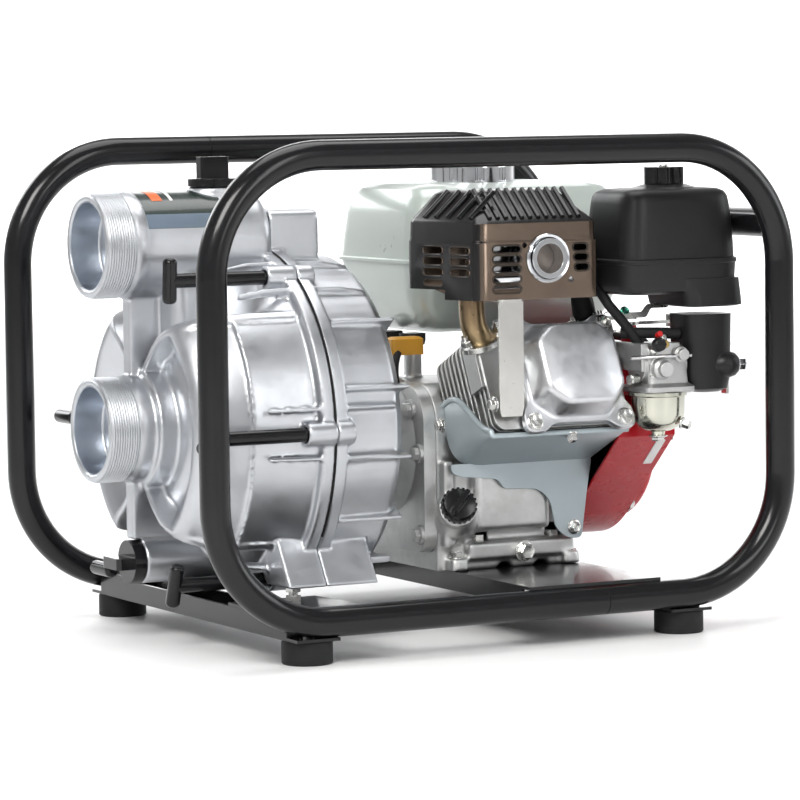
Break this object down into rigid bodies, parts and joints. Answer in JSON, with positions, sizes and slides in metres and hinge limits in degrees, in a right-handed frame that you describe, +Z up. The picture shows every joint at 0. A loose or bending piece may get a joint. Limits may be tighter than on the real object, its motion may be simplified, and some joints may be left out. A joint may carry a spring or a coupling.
{
  "type": "trash pump",
  "caption": "Petrol-engine trash pump in a black tube roll cage, with threaded suction and discharge ports, priming and drain plugs and T-handled clamp rods round the pump casing.",
  "frame": {"origin": "centre of the footprint on the floor", "axes": "+Z up, -Y the front with the cylinder head and muffler, +X the starter end, -X the end with the suction and discharge ports"},
  "size_m": [0.5728, 0.4336, 0.4339],
  "materials": {
    "cage_black": "gloss powder coat",
    "cast_silver": "silver-painted casting",
    "bare_casting": "as cast",
    "cast_iron": "as cast",
    "machined_steel": "machined",
    "zinc_bolt": "zinc plated",
    "black_plastic": "moulded",
    "gloss_black_plastic": "moulded",
    "black_rubber": "moulded",
    "tank_paint": "pale grey-green paint",
    "shroud_paint": "blue-grey paint",
    "red_paint": "gloss red paint",
    "guard_dark": "dark heat-proof coating",
    "bright_chrome": "polished",
    "heat_steel": "heat tinted",
    "filter_paper": "pleated"
  },
  "bodies": {
    "chassis": {"air_cleaner_cover": "black_plastic", "air_cleaner_elbow": "black_plastic", "air_filter_element": "filter_paper", "carburetor_body": "bare_casting", "carburetor_bowl": "zinc_bolt", "casing_seal_ring": "black_rubber", "crankcase": "bare_casting", "crankcase_cover": "bare_casting", "cross_member_left": "cage_black", "cross_member_right": "cage_black", "cross_tube_upper": "cage_black", "cylinder_block": "bare_casting", "cylinder_head": "bare_casting", "engine_adapter": "bare_casting", "engine_mount_plate": "cage_black", "exhaust_pipe": "heat_steel", "fan_cover": "red_paint", "foot_bolts": "zinc_bolt", "frame_loop_front": "cage_black", "frame_loop_rear": "cage_black", "fuel_tank": "tank_paint", "lower_shroud": "shroud_paint", "main_bearings": "machined_steel", "mechanical_seal": "machined_steel", "mounting_bolts": "zinc_bolt", "muffler": "bright_chrome", "muffler_guard": "guard_dark", "muffler_stay": "zinc_bolt", "pump_front_casing": "cast_silver", "pump_mount_tabs": "cage_black", "pump_rear_housing": "cast_silver", "recoil_starter_housing": "red_paint", "rubber_feet": "black_rubber", "rubber_hoses": "black_rubber", "spark_plug": "black_rubber", "valve_cover": "bare_casting", "volute": "cast_iron"},
    "crank_train": {"crankshaft": "machined_steel", "flywheel_fan": "cast_iron", "impeller": "cast_iron"},
    "piston_and_rod": {"connecting_rod": "bare_casting", "piston": "bare_casting"},
    "check_valve": {"suction_check_valve": "black_rubber"},
    "fill_plug": {"fill_plug": "gloss_black_plastic"},
    "drain_plug": {"drain_plug": "gloss_black_plastic"},
    "fuel_cap": {"fuel_cap": "bright_chrome"},
    "oil_dipstick": {"oil_dipstick": "gloss_black_plastic"},
    "air_cleaner_knob": {"air_cleaner_knob": "gloss_black_plastic"},
    "choke_lever": {"choke_lever": "zinc_bolt"},
    "fuel_valve_lever": {"fuel_valve_lever": "zinc_bolt"},
    "throttle_lever": {"throttle_lever": "zinc_bolt"},
    "engine_switch": {"engine_switch": "gloss_black_plastic"},
    "starter_grip": {"starter_grip": "black_plastic"},
    "starter_pulley": {"starter_pulley": "black_plastic"},
    "clamp_rod_1": {"clamp_rod_1": "cage_black"},
    "clamp_rod_2": {"clamp_rod_2": "cage_black"},
    "clamp_rod_3": {"clamp_rod_3": "cage_black"},
    "clamp_rod_4": {"clamp_rod_4": "cage_black"},
    "clamp_rod_5": {"clamp_rod_5": "cage_black"},
    "clamp_rod_6": {"clamp_rod_6": "cage_black"}
  },
  "joints": [
    {"name": "crankshaft_spin", "type": "hinge", "parent": "chassis", "child": "crank_train", "pos_m": [0, 0.019, 0.157], "axis": [1, 0, 0], "continuous": true},
    {"name": "piston_stroke", "type": "slide", "parent": "chassis", "child": "piston_and_rod", "axis": [0, -0.9063, 0.4226], "range_m": [-0.054, 0]},
    {"name": "check_valve_swing", "type": "hinge", "parent": "chassis", "child": "check_valve", "pos_m": [-0.2335, 0.019, 0.228], "axis": [0, -1, 0], "range_deg": [0, 45]},
    {"name": "fill_plug_turn", "type": "hinge", "parent": "chassis", "child": "fill_plug", "pos_m": [-0.166, 0.019, 0.392], "axis": [0, 0, 1], "range_deg": [0, 720]},
    {"name": "drain_plug_turn", "type": "hinge", "parent": "chassis", "child": "drain_plug", "pos_m": [-0.243, 0.019, 0.069], "axis": [-1, 0, 0], "range_deg": [0, 720]},
    {"name": "fuel_cap_turn", "type": "hinge", "parent": "chassis", "child": "fuel_cap", "pos_m": [0.125, 0.08, 0.39], "axis": [0, 0, 1], "range_deg": [0, 90]},
    {"name": "oil_dipstick_turn", "type": "hinge", "parent": "chassis", "child": "oil_dipstick", "pos_m": [0.018, -0.086, 0.113], "axis": [-0.2991, -0.8574, 0.4187], "range_deg": [0, 720]},
    {"name": "air_cleaner_knob_turn", "type": "hinge", "parent": "chassis", "child": "air_cleaner_knob", "pos_m": [0.202, -0.13, 0.39], "axis": [0, 0, 1], "range_deg": [0, 720]},
    {"name": "choke_lever_turn", "type": "hinge", "parent": "chassis", "child": "choke_lever", "pos_m": [0.255, -0.145, 0.246], "axis": [1, 0, 0], "range_deg": [0, 60]},
    {"name": "fuel_valve_lever_turn", "type": "hinge", "parent": "chassis", "child": "fuel_valve_lever", "pos_m": [0.255, -0.145, 0.224], "axis": [1, 0, 0], "range_deg": [0, 60]},
    {"name": "throttle_lever_turn", "type": "hinge", "parent": "chassis", "child": "throttle_lever", "pos_m": [0.196, -0.078, 0.262], "axis": [0, 0, 1], "range_deg": [-35, 35]},
    {"name": "engine_switch_turn", "type": "hinge", "parent": "chassis", "child": "engine_switch", "pos_m": [0.222, -0.088, 0.168], "axis": [1, 0, 0], "range_deg": [0, 60]},
    {"name": "starter_grip_pull", "type": "slide", "parent": "chassis", "child": "starter_grip", "axis": [0, 1, 0], "range_m": [0, 0.6], "stiffness_N_per_m": 40, "springref_m": -0.2},
    {"name": "starter_pulley_turn", "type": "hinge", "parent": "chassis", "child": "starter_pulley", "pos_m": [0.225, 0.019, 0.157], "axis": [1, 0, 0], "range_deg": [-640, 0]},
    {"name": "clamp_rod_1_turn", "type": "hinge", "parent": "chassis", "child": "clamp_rod_1", "pos_m": [-0.15, -0.131, 0.185], "axis": [-1, 0, 0], "range_deg": [0, 720]},
    {"name": "clamp_rod_2_turn", "type": "hinge", "parent": "chassis", "child": "clamp_rod_2", "pos_m": [-0.15, -0.056, 0.3149], "axis": [-1, 0, 0], "range_deg": [0, 720]},
    {"name": "clamp_rod_3_turn", "type": "hinge", "parent": "chassis", "child": "clamp_rod_3", "pos_m": [-0.15, 0.094, 0.3149], "axis": [-1, 0, 0], "range_deg": [0, 720]},
    {"name": "clamp_rod_4_turn", "type": "hinge", "parent": "chassis", "child": "clamp_rod_4", "pos_m": [-0.15, 0.169, 0.185], "axis": [-1, 0, 0], "range_deg": [0, 720]},
    {"name": "clamp_rod_5_turn", "type": "hinge", "parent": "chassis", "child": "clamp_rod_5", "pos_m": [-0.15, 0.094, 0.0551], "axis": [-1, 0, 0], "range_deg": [0, 720]},
    {"name": "clamp_rod_6_turn", "type": "hinge", "parent": "chassis", "child": "clamp_rod_6", "pos_m": [-0.15, -0.056, 0.0551], "axis": [-1, 0, 0], "range_deg": [0, 720]}
  ],
  "couplings": [
    {"joint": "starter_pulley_turn", "follows": "starter_grip_pull", "rad_per_m": -17.45}
  ]
}
